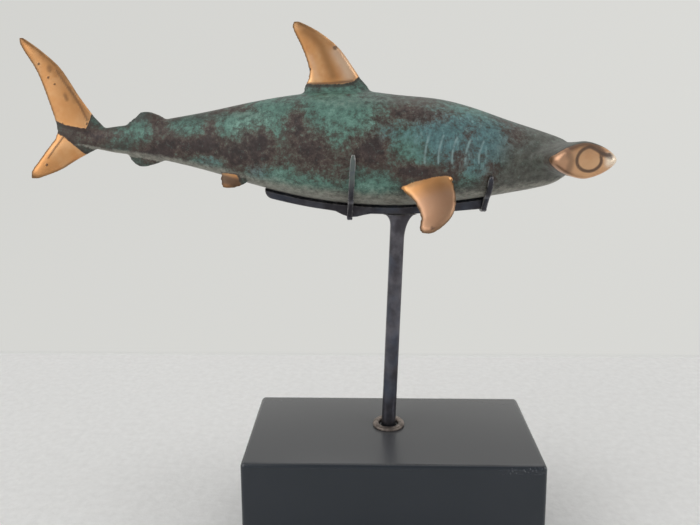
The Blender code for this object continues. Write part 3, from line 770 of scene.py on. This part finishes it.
# %% [markdown]
# ## The casting's material
#
# Patina is a crust of salts over the bronze: not metallic, a little rough, with brown under green.
# Polished bronze is a plain metal with a soft sheen and a few casting pits. One material holds
# both, and the polish distance chooses between them, because on the object they are one surface.

# %% Shader helpers for the finishes
def attribute(tree, name):
    return add(tree, "Attribute", attribute_name=name).outputs["Fac"]


def blend(tree, mask, below, above):
    """One colour over another, by a mask. Each is a socket or its numbers."""
    node = add(tree, "MixRGB")
    for name, value in (("Fac", mask), ("Color1", below), ("Color2", above)):
        if isinstance(value, tuple):
            node.inputs[name].default_value = (*value, 1)
        else:
            tree.links.new(value, node.inputs[name])
    return node.outputs[0]


def ramp(tree, value, low, high, to_low=0.0, to_high=1.0):
    """A smooth step from one value to another."""
    node = add(tree, "MapRange", From_Min=low, From_Max=high, To_Min=to_low, To_Max=to_high)
    node.interpolation_type = "SMOOTHSTEP"
    tree.links.new(value, node.inputs["Value"])
    return node.outputs[0]


def noise_mask(tree, where, scale, low, high, detail=5.0, breakup=0.6):
    node = use(tree, mottle, Scale=scale, Detail=detail, Breakup=breakup, From=low, To=high)
    tree.links.new(where, node.inputs["Vector"])
    return node


def satin_finish(tree, shader, where, scale, roughness, spread, strength, height):
    """Fine grain in a shader's roughness and normal, for a finish that is even but not flat."""
    grain = use(tree, fine_grain, Scale=scale, Roughness=roughness, Spread=spread)
    tree.links.new(where, grain.inputs["Vector"])
    tree.links.new(grain.outputs["Roughness"], shader.inputs["Roughness"])
    bump = add(tree, "Bump", Strength=strength, Distance=height)
    tree.links.new(grain.outputs["Height"], bump.inputs["Height"])
    tree.links.new(bump.outputs[0], shader.inputs["Normal"])


# %% Patina colours
UMBER = (0.092, 0.058, 0.046)
MAROON = (0.046, 0.029, 0.028)
DEEP_GREEN = (0.056, 0.070, 0.058)
VERDIGRIS = (0.104, 0.214, 0.172)
PALE_VERDIGRIS = (0.19, 0.33, 0.27)
SEA_BLUE = (0.092, 0.188, 0.200)
PALE_SEA = (0.21, 0.34, 0.34)
STONE_GREY = (0.118, 0.113, 0.096)
# The belly's grey is a painted reflection of the pale table below.
BELLY_TABLE_REFLECTION = (0.27, 0.26, 0.22)
BRONZE = (0.74, 0.365, 0.147)
PALE_BRONZE = (0.82, 0.475, 0.235)
COPPER = (0.64, 0.26, 0.10)
SCORCH = (0.045, 0.024, 0.016)
RIM_PAINTED_SHADE = (0.13, 0.095, 0.055)
BLUSH = (0.43, 0.20, 0.11)
OCHRE = (0.40, 0.20, 0.085)
CREAM = (0.97, 0.82, 0.66)
EYE_DARK = (0.085, 0.048, 0.030)
GILL_PALE = (0.28, 0.40, 0.40)


def patina_colour(tree, where):
    """Brown, green and blue patches with dabbed edges over a dark grey-green ground, with a painted
    reflection along the belly.
    """

    def sum_of(first, noise, share):
        """A value plus some share of a noise."""
        return math_node(tree, "ADD", first, math_node(tree, "MULTIPLY", noise, share))

    def level(scale, **kind):
        """Noise that swings about zero, and the same noise as it comes."""
        noise = noise_mask(tree, where, scale, 0.3, 0.7, **kind).outputs["Noise"]
        return math_node(tree, "SUBTRACT", noise, 0.5), noise

    ragged, ragged_noise = level(300.0, detail=6.0, breakup=0.75)
    rag = sum_of(level(90.0)[0], ragged, 1.8)
    rag = sum_of(rag, level(1000.0, detail=3.0, breakup=0.7)[0], 0.8)

    green = math_node(tree, "ADD", attribute(tree, "green"), rag)
    colour = blend(tree, ramp(tree, green, -0.1, 0.9), DEEP_GREEN, VERDIGRIS)
    colour = blend(tree, ramp(tree, green, 0.85, 1.6), colour, PALE_VERDIGRIS)
    blue = sum_of(attribute(tree, "blue"), rag, 0.9)
    colour = blend(tree, ramp(tree, blue, 0.2, 1.1, 0.0, 0.9), colour, SEA_BLUE)
    grey = sum_of(attribute(tree, "grey"), rag, 0.8)
    colour = blend(tree, ramp(tree, grey, 0.2, 1.2, 0.0, 0.75), colour, STONE_GREY)
    brown = sum_of(attribute(tree, "brown"), rag, -1.2)
    earth = blend(tree, ramp(tree, brown, 0.6, 1.2), UMBER, MAROON)
    colour = blend(tree, ramp(tree, brown, 0.08, 0.92, 0.0, 0.95), colour, earth)
    # Painted reflection: the belly is lightened towards the pale grey of the table it mirrors.
    belly = sum_of(attribute(tree, "belly"), rag, 0.6)
    colour = blend(tree, ramp(tree, belly, 0.15, 1.0, 0.0, 0.85), colour, BELLY_TABLE_REFLECTION)

    dabs = noise_mask(tree, where, 520.0, 0.56, 0.72, detail=4.0, breakup=0.7).outputs["Mask"]
    colour = blend(tree, math_node(tree, "MULTIPLY", dabs, 0.30), colour, PALE_VERDIGRIS)
    drawn_out = add(tree, "Mapping", Scale=(1.0, 1.0, 0.2))
    tree.links.new(where, drawn_out.inputs["Vector"])
    strokes = noise_mask(tree, drawn_out.outputs[0], 480.0, 0.5, 0.75, detail=3.0).outputs["Mask"]
    near_gills = ramp(tree, attribute(tree, "blue"), 0.25, 0.9, 0.0, 0.6)
    colour = blend(tree, math_node(tree, "MULTIPLY", strokes, near_gills), colour, PALE_SEA)
    shade = add(tree, "HueSaturation")
    tree.links.new(colour, shade.inputs["Color"])
    tree.links.new(ramp(tree, ragged_noise, 0.32, 0.68, 0.66, 1.36), shade.inputs["Value"])
    return shade.outputs[0], rag


# %% [markdown]
# Bare bronze has clouds of copper and straw in it, a copper blush towards the back of the hammer
# ends, and dull ochre bands. The front of each hammer end is blended to cream, as a painted highlight.
# The clouds are noise. The bands have a place, so each is a path along the metal, and the distance to
# it becomes an attribute.

# %% Polished bronze colour
def bronze_colour(tree, where):
    """Bare metal with warmer and paler clouds, a painted highlight at the front of the hammer ends, and
    painted shade on the fins' rims.
    """
    clouds = noise_mask(tree, where, 70.0, 0.38, 0.68, detail=3.0)
    warm = noise_mask(tree, where, 160.0, 0.5, 0.75, detail=4.0)
    colour = blend(tree, clouds.outputs["Mask"], BRONZE, PALE_BRONZE)
    for mask, share, cloud in ((warm.outputs["Mask"], 0.45, COPPER),
                               (attribute(tree, "blush"), 0.75, BLUSH),
                               (attribute(tree, "cream"), 0.95, CREAM),
                               (attribute(tree, "ochre"), 1.0, OCHRE)):
        colour = blend(tree, math_node(tree, "MULTIPLY", mask, share), colour, cloud)
    # Painted shade: the colour darkens towards the fins' rims.
    return blend(tree, ramp(tree, attribute(tree, "rim"), 0.2, 1.7, 0.6, 0.0), colour, RIM_PAINTED_SHADE)


# %% Where the pits, marks and bands are
# Pits are along, height and radius. Marks and bands are a path, a reach and a strength.
PITS = (
    (-194.1, 77.1, 0.8), (-189.3, 69.8, 0.8), (-186.0, 66.2, 0.7), (-183.2, 44.8, 0.7),
    (-169.4, 44.8, 0.8), (-193.6, 22.3, 0.9), (-47.8, 73.5, 0.9), (-33.9, 84.6, 1.3),
)
MARKS = (
    (((-184.5, 73.5), (-181.4, 68.4), (-176.0, 60.2), (-172.9, 54.7), (-169.2, 46.8)), 0.6, 0.62),
    (((-182.5, 38.6), (-188.2, 31.8), (-192.5, 26.3)), 0.5, 0.55),
    (((-48.4, 65.6), (-36.7, 65.9), (-25.0, 67.0)), 0.7, 0.7),
    (((-180.8, 60.5), (-179.8, 58.0)), 0.9, 0.5),
    (((-188.6, 74.8), (-188.4, 73.8)), 1.3, 0.4),
    (((15.0, -5.2), (16.4, -5.6)), 0.7, 0.7),
    (((-96.0, 16.0), (-88.0, 14.0), (-80.0, 12.5)), 3.0, 0.85),
)
END_MARKS = (
    (((80.0, 33.5), (82.3, 28.4), (81.2, 22.6)), 1.4, 0.42),
    (((97.0, 32.0), (101.5, 30.2)), 1.3, 0.8),
    (((82.0, 34.4), (86.0, 36.2), (89.3, 36.7), (92.5, 36.0), (95.7, 34.3), (98.5, 31.6)), 1.3, 0.8),
)
BANDS = (
    (((-50.0, 93.5), (-45.0, 89.8), (-41.3, 85.5), (-38.7, 79.0), (-35.2, 70.0)), 2.6, 0.8),
    (((-52.0, 96.5), (-46.0, 93.0)), 2.4, 0.6),
    (((-188.5, 75.5), (-185.0, 71.0)), 2.0, 0.5),
    (((-178.0, 64.0), (-175.5, 57.0)), 1.6, 0.4),
    (((20.0, 14.0), (14.0, 13.0)), 3.0, 0.4),
    (((-192.0, 80.0), (-184.0, 64.0), (-180.0, 50.0)), 5.0, 0.22),
    (((-184.0, 36.0), (-193.0, 23.0)), 6.0, 0.34),
)
PALE_BANDS = (
    (((-33.5, 82.0), (-29.0, 75.5), (-26.5, 70.0)), 3.4, 0.5),
    (((-47.0, 80.0), (-44.0, 70.0)), 1.6, 0.2),
)
print("pits:", len(PITS), "marks:", len(MARKS) + len(END_MARKS), "bands:", len(BANDS) + len(PALE_BANDS))

# %% Keep them on the skin
flanks = np.abs(y) < 40
hammer_ends = np.abs(y) > 26


def distance_to_path(path):
    """Distance in side view from each point of the skin to a line through a path's corners."""
    nearest = np.full(len(x), 99.0)
    for (a0, b0), (a1, b1) in zip(path, path[1:]):
        run, rise = a1 - a0, b1 - b0
        t = np.clip(((x - a0) * run + (z - b0) * rise) / (run * run + rise * rise), 0, 1)
        nearest = np.minimum(nearest, np.hypot(x - a0 - t * run, z - b0 - t * rise))
    return nearest


pit_distance = np.full(len(x), 9.0)
for along, height, radius in PITS:
    pit_distance = np.minimum(pit_distance, np.hypot(x - along, z - height) / radius)
keep("pit", pit_distance)

mark = np.zeros(len(x))
for marks, region in ((MARKS, flanks), (END_MARKS, hammer_ends)):
    for path, reach, strength in marks:
        soft = np.clip(1.5 - distance_to_path(path) / reach, 0, 1) * strength
        mark[region] = np.maximum(mark, soft)[region]
keep("mark", mark)


def soft_bands(bands):
    """Soft stripes along paths, each with a reach in millimetres and a strength."""
    total = np.zeros(len(x))
    for path, reach, strength in bands:
        off = distance_to_path(path) / reach
        total = np.maximum(total, strength * np.exp(-(off**2)))
    return total * flanks


at_end = np.clip((np.abs(y) - 26) / 4, 0, 1)
keep("blush", at_end * (0.3 + 0.7 * np.clip((85 - x) / 5, 0, 1)))
# Painted highlight: the front of each hammer end is blended to cream.
painted_snout_highlight = np.clip((x - 97) / 3, 0, 1) * np.clip(1.6 - np.abs(z - eye_height) / 3, 0, 1)
keep("cream", np.maximum(at_end * np.maximum(painted_snout_highlight, 0.15), soft_bands(PALE_BANDS)))
keep("ochre", soft_bands(BANDS))
print("points under a band:", int((soft_bands(BANDS) > 0.1).sum()))

# %% [markdown]
# The fins' rims are darkened as painted shade for the blunt edge, which mirrors the darker room, and
# they are made a little rougher. The rim is where the skin is most strongly bent outwards. The
# distance to the nearest such point is kept, and smoothed a little.

# %% The fins' rims
RIM_PERCENT = 12

on_fin = (polish > 0.5) & ((np.abs(y) < 12) | ((x < 40) & (outside_body > 1.5)))
keenest = on_fin & (hollow < np.percentile(hollow[on_fin], RIM_PERCENT))
rim_tree = kdtree.KDTree(int(keenest.sum()))
for k, spot in enumerate(smooth[keenest]):
    rim_tree.insert(spot, k)
rim_tree.balance()
rim = np.full(len(x), 9.0)
rim[on_fin] = [1000 * rim_tree.find(spot)[2] for spot in smooth[on_fin]]
for _ in range(8):
    rim[on_fin] = (0.4 * rim + 0.6 * neighbour_mean(rim))[on_fin]
keep("rim", rim)
print("rim points:", int(keenest.sum()))


# %% The whole material
def cast_bronze():
    material, tree, shader = new_material("patinated_bronze")
    where = add(tree, "TexCoord").outputs["Object"]
    patina, rag = patina_colour(tree, where)
    bronze = bronze_colour(tree, where)

    uneven_edge = math_node(tree, "MULTIPLY", rag, 0.9)
    distance = math_node(tree, "ADD", attribute(tree, "polish"), uneven_edge)
    bare = ramp(tree, distance, -0.25, 0.35)
    scorch = use(tree, line_band, Near=-1.6, Far=0.1, Softness=0.9)
    tree.links.new(distance, scorch.inputs["Distance"])
    patina = blend(tree, math_node(tree, "MULTIPLY", scorch.outputs[0], 0.65), patina, SCORCH)
    pit = ramp(tree, attribute(tree, "pit"), 0.6, 1.3, 0.75, 0.0)
    stain = math_node(tree, "MAXIMUM", pit, attribute(tree, "mark"))
    bronze = blend(tree, stain, bronze, SCORCH)
    colour = blend(tree, bare, patina, bronze)

    eye = ramp(tree, attribute(tree, "eye_line"), 0.35, 1.25, 0.9, 0.0)
    colour = blend(tree, eye, colour, EYE_DARK)
    mouth = ramp(tree, attribute(tree, "mouth_line"), 0.3, 0.9, 0.6, 0.0)
    colour = blend(tree, mouth, colour, SCORCH)
    gill = ramp(tree, attribute(tree, "gill_line"), 0.15, 0.85, 0.8, 0.0)
    rubbed = noise_mask(tree, where, 260.0, 0.28, 0.55).outputs["Mask"]
    colour = blend(tree, math_node(tree, "MULTIPLY", gill, rubbed), colour, GILL_PALE)
    tree.links.new(colour, shader.inputs["Base Color"])

    dirty = math_node(tree, "MAXIMUM", stain, eye)
    clean = math_node(tree, "SUBTRACT", bare, dirty, clamp=True)
    tree.links.new(ramp(tree, clean, 0.0, 1.0, 0.15, 1.0), shader.inputs["Metallic"])
    grain = use(tree, fine_grain, Scale=700.0, Roughness=0.0, Spread=0.18)
    tree.links.new(where, grain.inputs["Vector"])
    grain_share = ramp(tree, clean, 0.0, 1.0, 1.0, 0.25)
    rough = ramp(tree, clean, 0.0, 1.0, 0.50, 0.35)
    for change in (math_node(tree, "MULTIPLY", grain.outputs["Roughness"], grain_share),
                   ramp(tree, attribute(tree, "rim"), 0.3, 2.0, 0.14, 0.0)):
        rough = math_node(tree, "ADD", rough, change)
    tree.links.new(rough, shader.inputs["Roughness"])

    uneven = noise_mask(tree, where, 240.0, 0.3, 0.7, detail=4.0).outputs["Noise"]
    fine = math_node(tree, "MULTIPLY", grain.outputs["Height"], 0.35)
    crust = math_node(tree, "ADD", uneven, fine)
    depth = ramp(tree, clean, 0.0, 1.0, 0.8, 0.02)
    bump = add(tree, "Bump", Strength=0.7, Distance=0.0004)
    tree.links.new(math_node(tree, "MULTIPLY", crust, depth), bump.inputs["Height"])
    tree.links.new(bump.outputs[0], shader.inputs["Normal"])
    return material


casting.data.materials.append(cast_bronze())
casting.data.shade_smooth()
casting.data.normals_split_custom_set_from_vertices(even.tolist())
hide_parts("shark")
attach(casting, "root")
print("casting:", len(skin.polygons), "faces,", casting.data.materials[0].name)

# %% [markdown]
# ## The stand
#
# The stand's CAD shapes are right as they are. What they need is a finish that is not one flat
# black. Each piece is copied from its node, with its corners joined so that light runs round them,
# and the copy stands for the node. On the steel, each point's distance to the nearest sharp edge is
# kept, because handling wears the black off there first.

# %% Dress a stand piece
SHARP_ANGLE = math.radians(28)
SPOT_SPACING = 0.0005


def measure_edges(obj, cut_length):
    """Cuts long edges down, then keeps each point's distance in mm to the nearest sharp edge."""
    shape = bmesh.new()
    shape.from_mesh(obj.data)
    spots = []
    for edge in shape.edges:
        if edge.calc_face_angle(0) > SHARP_ANGLE:
            start, end = (v.co.copy() for v in edge.verts)
            count = max(1, int((end - start).length / SPOT_SPACING))
            spots += [start.lerp(end, k / count) for k in range(count + 1)]
    for _ in range(5):
        long_edges = [e for e in shape.edges if e.calc_length() > cut_length]
        if not long_edges:
            break
        bmesh.ops.subdivide_edges(shape, edges=long_edges, cuts=1)
    bmesh.ops.triangulate(shape, faces=[f for f in shape.faces if len(f.verts) > 4])
    shape.to_mesh(obj.data)
    shape.free()
    tree = kdtree.KDTree(len(spots))
    for k, spot in enumerate(spots):
        tree.insert(spot, k)
    tree.balance()
    layer = obj.data.attributes.new("edge", "FLOAT", "POINT")
    for k, point in enumerate(obj.data.vertices):
        layer.data[k].value = 1000 * tree.find(point.co)[2]


def dress(node, material, smooth_angle=35.0, wear_cut=0.0):
    """A copy of a node with its own material. With wear_cut, its edges are measured for wear."""
    obj = copy_of(node, "dressed_" + node)
    if wear_cut:
        measure_edges(obj, wear_cut)
    obj.data.shade_smooth()
    obj.data.set_sharp_from_angle(angle=math.radians(smooth_angle))
    obj.data.materials.append(material)
    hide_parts(node)
    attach(obj, "root")
    print(node, "dressed:", len(obj.data.polygons), "faces,", material.name)


# %% [markdown]
# Blackened steel is forged black, waxed and handled. It is dark with a faint violet or blue cast,
# and its raised edges have worn to grey. The rear clip's upper arm has taken on some green from the
# patina that it lies against.

# %% Blackened steel
FORGE_BLACK = (0.070, 0.066, 0.076)
FORGE_GREY = (0.145, 0.140, 0.158)
COOL_CAST = (0.100, 0.125, 0.175)
WORN_STEEL = (0.42, 0.41, 0.40)
GREEN_TARNISH = (0.17, 0.205, 0.18)
TARNISH_HEIGHT = (0.192, 0.206)


def blackened_steel(name="blackened_steel", wear=0.75, shade=0.8, tarnish=0.0):
    material, tree, shader = new_material(name)
    where = add(tree, "TexCoord").outputs["Object"]
    clouds = noise_mask(tree, where, 75.0, 0.38, 0.66)
    tint = noise_mask(tree, where, 45.0, 0.42, 0.68, detail=3.0)
    colour = blend(tree, clouds.outputs["Mask"], FORGE_BLACK, FORGE_GREY)
    cool = math_node(tree, "MULTIPLY", tint.outputs["Mask"], 0.6)
    dim = add(tree, "HueSaturation", Value=shade)
    tree.links.new(blend(tree, cool, colour, COOL_CAST), dim.inputs["Color"])
    colour = dim.outputs[0]
    if tarnish:
        height = add(tree, "SeparateXYZ")
        tree.links.new(where, height.inputs[0])
        arm = ramp(tree, height.outputs["Z"], *TARNISH_HEIGHT, 0.0, tarnish)
        blotches = noise_mask(tree, where, 190.0, 0.25, 0.6).outputs["Mask"]
        colour = blend(tree, math_node(tree, "MULTIPLY", arm, blotches), colour, GREEN_TARNISH)
    worn = ramp(tree, attribute(tree, "edge"), 0.15, 0.55, wear, 0.0)
    scuffs = noise_mask(tree, where, 420.0, 0.35, 0.6).outputs["Mask"]
    colour = blend(tree, math_node(tree, "MULTIPLY", worn, scuffs), colour, WORN_STEEL)
    tree.links.new(colour, shader.inputs["Base Color"])
    shader.inputs["Metallic"].default_value = 0.9
    satin_finish(tree, shader, where, 500.0, 0.36, 0.18, strength=0.35, height=0.0002)
    return material


rubbed = blackened_steel("rubbed_steel", wear=0.8, shade=1.2, tarnish=0.8)
dress("rear_clip", rubbed, wear_cut=0.0005)
dress("front_clip", blackened_steel(), wear_cut=0.0005)
# The cradle bar's steel is darkened (shade 0.6) as painted shade, for the bar in the shadow under the
# shark.
bar_steel_in_shade = blackened_steel("bar_steel_painted_shade", wear=0.15, shade=0.6)
dress("cradle_bar", bar_steel_in_shade, wear_cut=0.0008)
drawn_rod = blackened_steel("post_steel", wear=0.3, shade=1.0)
dress("post", drawn_rod, wear_cut=0.002)

# %% [markdown]
# The ring at the foot of the post is brass gone dull: warm grey-brown, and brighter where cloths
# rub it. Noise alone says where that is, because the ring is too small for more.

# %% Dull brass
RUBBED_BRASS = (0.30, 0.25, 0.22)
BROWN_TARNISH = (0.14, 0.115, 0.10)


def dull_brass():
    material, tree, shader = new_material("dull_brass")
    where = add(tree, "TexCoord").outputs["Object"]
    tarnish = noise_mask(tree, where, 380.0, 0.35, 0.65).outputs["Mask"]
    tree.links.new(blend(tree, tarnish, RUBBED_BRASS, BROWN_TARNISH), shader.inputs["Base Color"])
    shader.inputs["Metallic"].default_value = 0.8
    satin_finish(tree, shader, where, 1200.0, 0.42, 0.25, strength=0.4, height=0.0001)
    return material


dress("foot_washer", dull_brass())

# %% [markdown]
# The block is wood or fibreboard under satin charcoal paint. The paint is smooth enough to mirror
# the post's foot softly, and slightly orange-peeled from the roller or spray.

# %% Painted block
PAINT = (0.003, 0.009, 0.017)
THIN_PAINT = (0.006, 0.012, 0.021)
DUST = (0.3, 0.3, 0.3)
DUST_AND_PAINTED_SHEEN = (0.079, 0.080, 0.084)
CHIPPED = (0.30, 0.31, 0.33)
CHIPPED_ALONG = (0.052, 0.062)
CHIPPED_HEIGHT = (0.0500, 0.0512)


def charcoal_paint():
    material, tree, shader = new_material("charcoal_paint")
    where = add(tree, "TexCoord").outputs["Object"]
    place = add(tree, "SeparateXYZ")
    tree.links.new(where, place.inputs[0])
    facing = add(tree, "SeparateXYZ")
    tree.links.new(add(tree, "NewGeometry").outputs["Normal"], facing.inputs[0])
    clouds = noise_mask(tree, where, 28.0, 0.35, 0.7, detail=3.0).outputs["Mask"]
    colour = blend(tree, clouds, PAINT, THIN_PAINT)
    specks = noise_mask(tree, where, 900.0, 0.66, 0.8, detail=2.0).outputs["Mask"]
    colour = blend(tree, math_node(tree, "MULTIPLY", specks, 0.08), colour, DUST)
    # Upward faces are lightened: partly settled dust, partly a painted sheen for the top that mirrors
    # the pale wall.
    top_dust_and_sheen = ramp(tree, facing.outputs["Z"], 0.6, 1.0, 0.0, 0.9)
    colour = blend(tree, top_dust_and_sheen, colour, DUST_AND_PAINTED_SHEEN)
    chips = noise_mask(tree, where, 900.0, 0.56, 0.66, detail=2.0).outputs["Mask"]
    for part in (ramp(tree, place.outputs["X"], *CHIPPED_ALONG),
                 ramp(tree, place.outputs["Z"], *CHIPPED_HEIGHT),
                 ramp(tree, facing.outputs["Z"], 0.3, 0.8, 0.4, 0.0)):
        chips = math_node(tree, "MULTIPLY", chips, part)
    tree.links.new(blend(tree, chips, colour, CHIPPED), shader.inputs["Base Color"])
    shader.inputs["Specular IOR Level"].default_value = 0.7
    satin_finish(tree, shader, where, 500.0, 0.25, 0.05, strength=0.12, height=0.0002)
    return material


dress("base_block", charcoal_paint(), smooth_angle=60.0)

# %% [markdown]
# ## Finish
#
# The CAD model's box is printed; the shark's smoothed skin was clipped to it above.

# %% Print the CAD box
print("CAD box:", cad_box)
